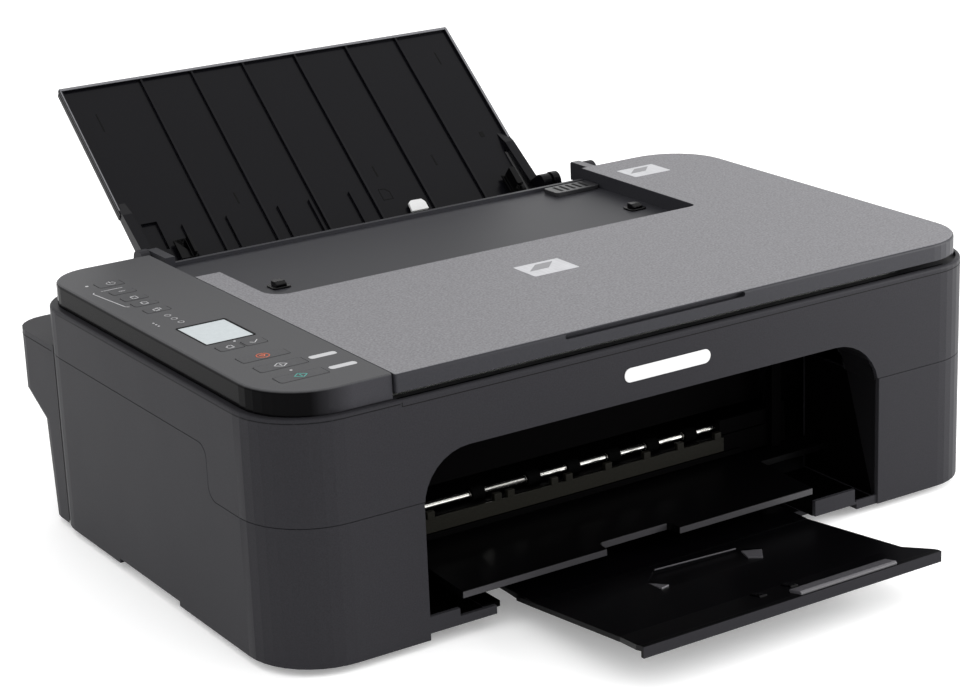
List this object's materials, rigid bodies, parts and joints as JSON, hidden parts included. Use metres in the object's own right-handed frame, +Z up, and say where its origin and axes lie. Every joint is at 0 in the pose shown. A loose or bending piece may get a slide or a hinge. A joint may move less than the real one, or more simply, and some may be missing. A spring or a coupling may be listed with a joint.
{
  "type": "inkjet printer",
  "caption": "Flat desktop inkjet printer and scanner with a hinged lid, a raised rear paper support, side keys and a drawn-out output tray.",
  "frame": {"origin": "on the desk surface under the middle of the object's box, with the support open and the tray out", "axes": "+X to the printer's right as seen from the front, +Y from the front to the back, +Z up"},
  "size_m": [0.435, 0.5132, 0.2064],
  "materials": {
    "case_black": "moulded plastic with a fine satin grain",
    "inner_black": "plain black moulding",
    "satin_black": "smooth satin moulding",
    "lid_grey": "dark grey moulding with a fine grain",
    "pad_white": "white foam sheet",
    "glass": "clear flat glass",
    "display_grey": "pale grey display behind a clear window",
    "steel": "plain sheet and ground shaft",
    "rubber": "black rubber",
    "gear_white": "natural acetal",
    "cartridge_grey": "dark grey moulding",
    "strip_clear": "clear film with fine marks",
    "board_green": "green coated circuit board"
  },
  "bodies": {
    "base": {"lower_case": "case_black", "rear_housing": "case_black", "foot_front_left": "rubber", "foot_front_right": "rubber", "foot_rear_left": "rubber", "foot_rear_right": "rubber", "delivery_deck": "inner_black", "platen": "inner_black", "feed_motor": "steel", "paper_chute": "inner_black", "carriage_rail": "steel", "encoder_strip": "strip_clear", "drive_belt": "rubber", "carriage_motor": "steel", "purge_unit": "inner_black", "ink_absorber": "pad_white", "power_supply": "inner_black", "power_inlet": "inner_black", "usb_port": "steel", "main_board": "board_green", "support_bracket_left": "inner_black", "support_bracket_right": "inner_black"},
    "hood": {"hood_case": "case_black", "scanner_bed": "inner_black", "platen_glass": "glass", "control_panel": "satin_black", "display_window": "display_grey"},
    "lid": {"document_cover": "lid_grey", "cover_pad": "pad_white"},
    "scan_unit": {"scan_carriage": "inner_black"},
    "support": {"paper_support": "satin_black"},
    "guide_left": {"paper_guide_left": "inner_black"},
    "guide_right": {"paper_guide_right": "inner_black"},
    "runner": {"tray_runner": "inner_black"},
    "tray": {"output_tray": "inner_black"},
    "stop_flap": {"paper_stop": "satin_black"},
    "print_carriage": {"carriage": "inner_black", "black_cartridge": "cartridge_grey", "color_cartridge": "cartridge_grey"},
    "drive_pulley": {"motor_pulley": "gear_white"},
    "tail_pulley": {"idler_pulley": "gear_white"},
    "feed_shaft": {"feed_roller": "steel", "feed_gear": "gear_white"},
    "transfer_wheel": {"transfer_gear": "gear_white"},
    "discharge_shaft": {"discharge_roller": "steel", "discharge_gear": "gear_white"},
    "pinion": {"motor_pinion": "gear_white"},
    "pickup_shaft": {"pickup_roller": "rubber"},
    "power_key": {"power_button": "satin_black"},
    "wireless_key": {"wireless_button": "satin_black"},
    "page_size_key": {"page_size_button": "satin_black"},
    "paper_key": {"paper_button": "satin_black"},
    "copies_key": {"copies_button": "satin_black"},
    "menu_key": {"menu_button": "satin_black"},
    "ok_key": {"ok_button": "satin_black"},
    "stop_key": {"stop_button": "satin_black"},
    "black_start_key": {"black_start_button": "satin_black"},
    "color_start_key": {"color_start_button": "satin_black"}
  },
  "joints": [
    {"name": "hood_hinge", "type": "hinge", "parent": "base", "child": "hood", "pos_m": [0, 0.1254, 0.113], "axis": [-1, 0, 0], "range_deg": [0, 28]},
    {"name": "lid_hinge", "type": "hinge", "parent": "hood", "child": "lid", "pos_m": [0, 0.1214, 0.135], "axis": [-1, 0, 0], "range_deg": [0, 75]},
    {"name": "scan_slide", "type": "slide", "parent": "hood", "child": "scan_unit", "axis": [1, 0, 0], "range_m": [0, 0.28]},
    {"name": "support_hinge", "type": "hinge", "parent": "base", "child": "support", "pos_m": [0, 0.1421, 0.1264], "axis": [-1, 0, 0], "range_deg": [-140, 0]},
    {"name": "guide_left_slide", "type": "slide", "parent": "support", "child": "guide_left", "axis": [1, 0, 0], "range_m": [0, 0.05]},
    {"name": "guide_right_slide", "type": "slide", "parent": "support", "child": "guide_right", "axis": [1, 0, 0], "range_m": [-0.05, 0]},
    {"name": "tray_slide", "type": "slide", "parent": "base", "child": "runner", "axis": [0, -1, 0], "range_m": [-0.1065, 0]},
    {"name": "tray_tilt", "type": "hinge", "parent": "runner", "child": "tray", "pos_m": [0, -0.1426, 0.01], "axis": [-1, 0, 0], "range_deg": [-6.4, 0]},
    {"name": "stop_hinge", "type": "hinge", "parent": "tray", "child": "stop_flap", "pos_m": [0, -0.2471, 0.0246], "axis": [-1, 0, 0], "range_deg": [0, 85]},
    {"name": "carriage_slide", "type": "slide", "parent": "base", "child": "print_carriage", "axis": [1, 0, 0], "range_m": [-0.245, 0]},
    {"name": "drive_pulley_spin", "type": "hinge", "parent": "base", "child": "drive_pulley", "pos_m": [-0.193, 0.0079, 0.073], "axis": [0, 0, 1], "range_deg": [-2270, 0]},
    {"name": "tail_pulley_spin", "type": "hinge", "parent": "base", "child": "tail_pulley", "pos_m": [0.193, 0.0079, 0.073], "axis": [0, 0, 1], "range_deg": [-2270, 0]},
    {"name": "feed_spin", "type": "hinge", "parent": "base", "child": "feed_shaft", "pos_m": [0, -0.0326, 0.0445], "axis": [1, 0, 0], "continuous": true},
    {"name": "transfer_spin", "type": "hinge", "parent": "base", "child": "transfer_wheel", "pos_m": [-0.13225, -0.0656, 0.0445], "axis": [1, 0, 0], "continuous": true},
    {"name": "discharge_spin", "type": "hinge", "parent": "base", "child": "discharge_shaft", "pos_m": [0, -0.0886, 0.0445], "axis": [1, 0, 0], "continuous": true},
    {"name": "pinion_spin", "type": "hinge", "parent": "base", "child": "pinion", "pos_m": [-0.13225, -0.01095, 0.032], "axis": [1, 0, 0], "continuous": true},
    {"name": "pickup_spin", "type": "hinge", "parent": "base", "child": "pickup_shaft", "pos_m": [0, 0.0915, 0.0843], "axis": [1, 0, 0], "continuous": true},
    {"name": "power_press", "type": "slide", "parent": "hood", "child": "power_key", "axis": [0, 0, -1], "range_m": [0, 0.0008], "stiffness_N_per_m": 600, "springref_m": -0.0003},
    {"name": "wireless_press", "type": "slide", "parent": "hood", "child": "wireless_key", "axis": [0, 0, -1], "range_m": [0, 0.0008], "stiffness_N_per_m": 600, "springref_m": -0.0003},
    {"name": "page_size_press", "type": "slide", "parent": "hood", "child": "page_size_key", "axis": [0, 0, -1], "range_m": [0, 0.0008], "stiffness_N_per_m": 600, "springref_m": -0.0003},
    {"name": "paper_press", "type": "slide", "parent": "hood", "child": "paper_key", "axis": [0, 0, -1], "range_m": [0, 0.0008], "stiffness_N_per_m": 600, "springref_m": -0.0003},
    {"name": "copies_press", "type": "slide", "parent": "hood", "child": "copies_key", "axis": [0, 0, -1], "range_m": [0, 0.0008], "stiffness_N_per_m": 600, "springref_m": -0.0003},
    {"name": "menu_press", "type": "slide", "parent": "hood", "child": "menu_key", "axis": [0, 0, -1], "range_m": [0, 0.0008], "stiffness_N_per_m": 600, "springref_m": -0.0003},
    {"name": "ok_press", "type": "slide", "parent": "hood", "child": "ok_key", "axis": [0, 0, -1], "range_m": [0, 0.0008], "stiffness_N_per_m": 600, "springref_m": -0.0003},
    {"name": "stop_press", "type": "slide", "parent": "hood", "child": "stop_key", "axis": [0, 0, -1], "range_m": [0, 0.0008], "stiffness_N_per_m": 600, "springref_m": -0.0003},
    {"name": "black_start_press", "type": "slide", "parent": "hood", "child": "black_start_key", "axis": [0, 0, -1], "range_m": [0, 0.0008], "stiffness_N_per_m": 600, "springref_m": -0.0003},
    {"name": "color_start_press", "type": "slide", "parent": "hood", "child": "color_start_key", "axis": [0, 0, -1], "range_m": [0, 0.0008], "stiffness_N_per_m": 600, "springref_m": -0.0003}
  ],
  "couplings": [
    {"joint": "guide_right_slide", "follows": "guide_left_slide", "ratio": -1},
    {"joint": "tray_tilt", "follows": "tray_slide", "rad_per_m": 1.0487},
    {"joint": "drive_pulley_spin", "follows": "carriage_slide", "rad_per_m": 161.29},
    {"joint": "tail_pulley_spin", "follows": "carriage_slide", "rad_per_m": 161.29},
    {"joint": "transfer_spin", "follows": "feed_spin", "ratio": -1.5385},
    {"joint": "discharge_spin", "follows": "feed_spin", "ratio": 2},
    {"joint": "pinion_spin", "follows": "feed_spin", "ratio": -4},
    {"joint": "pickup_spin", "follows": "feed_spin", "ratio": -0.46667}
  ]
}
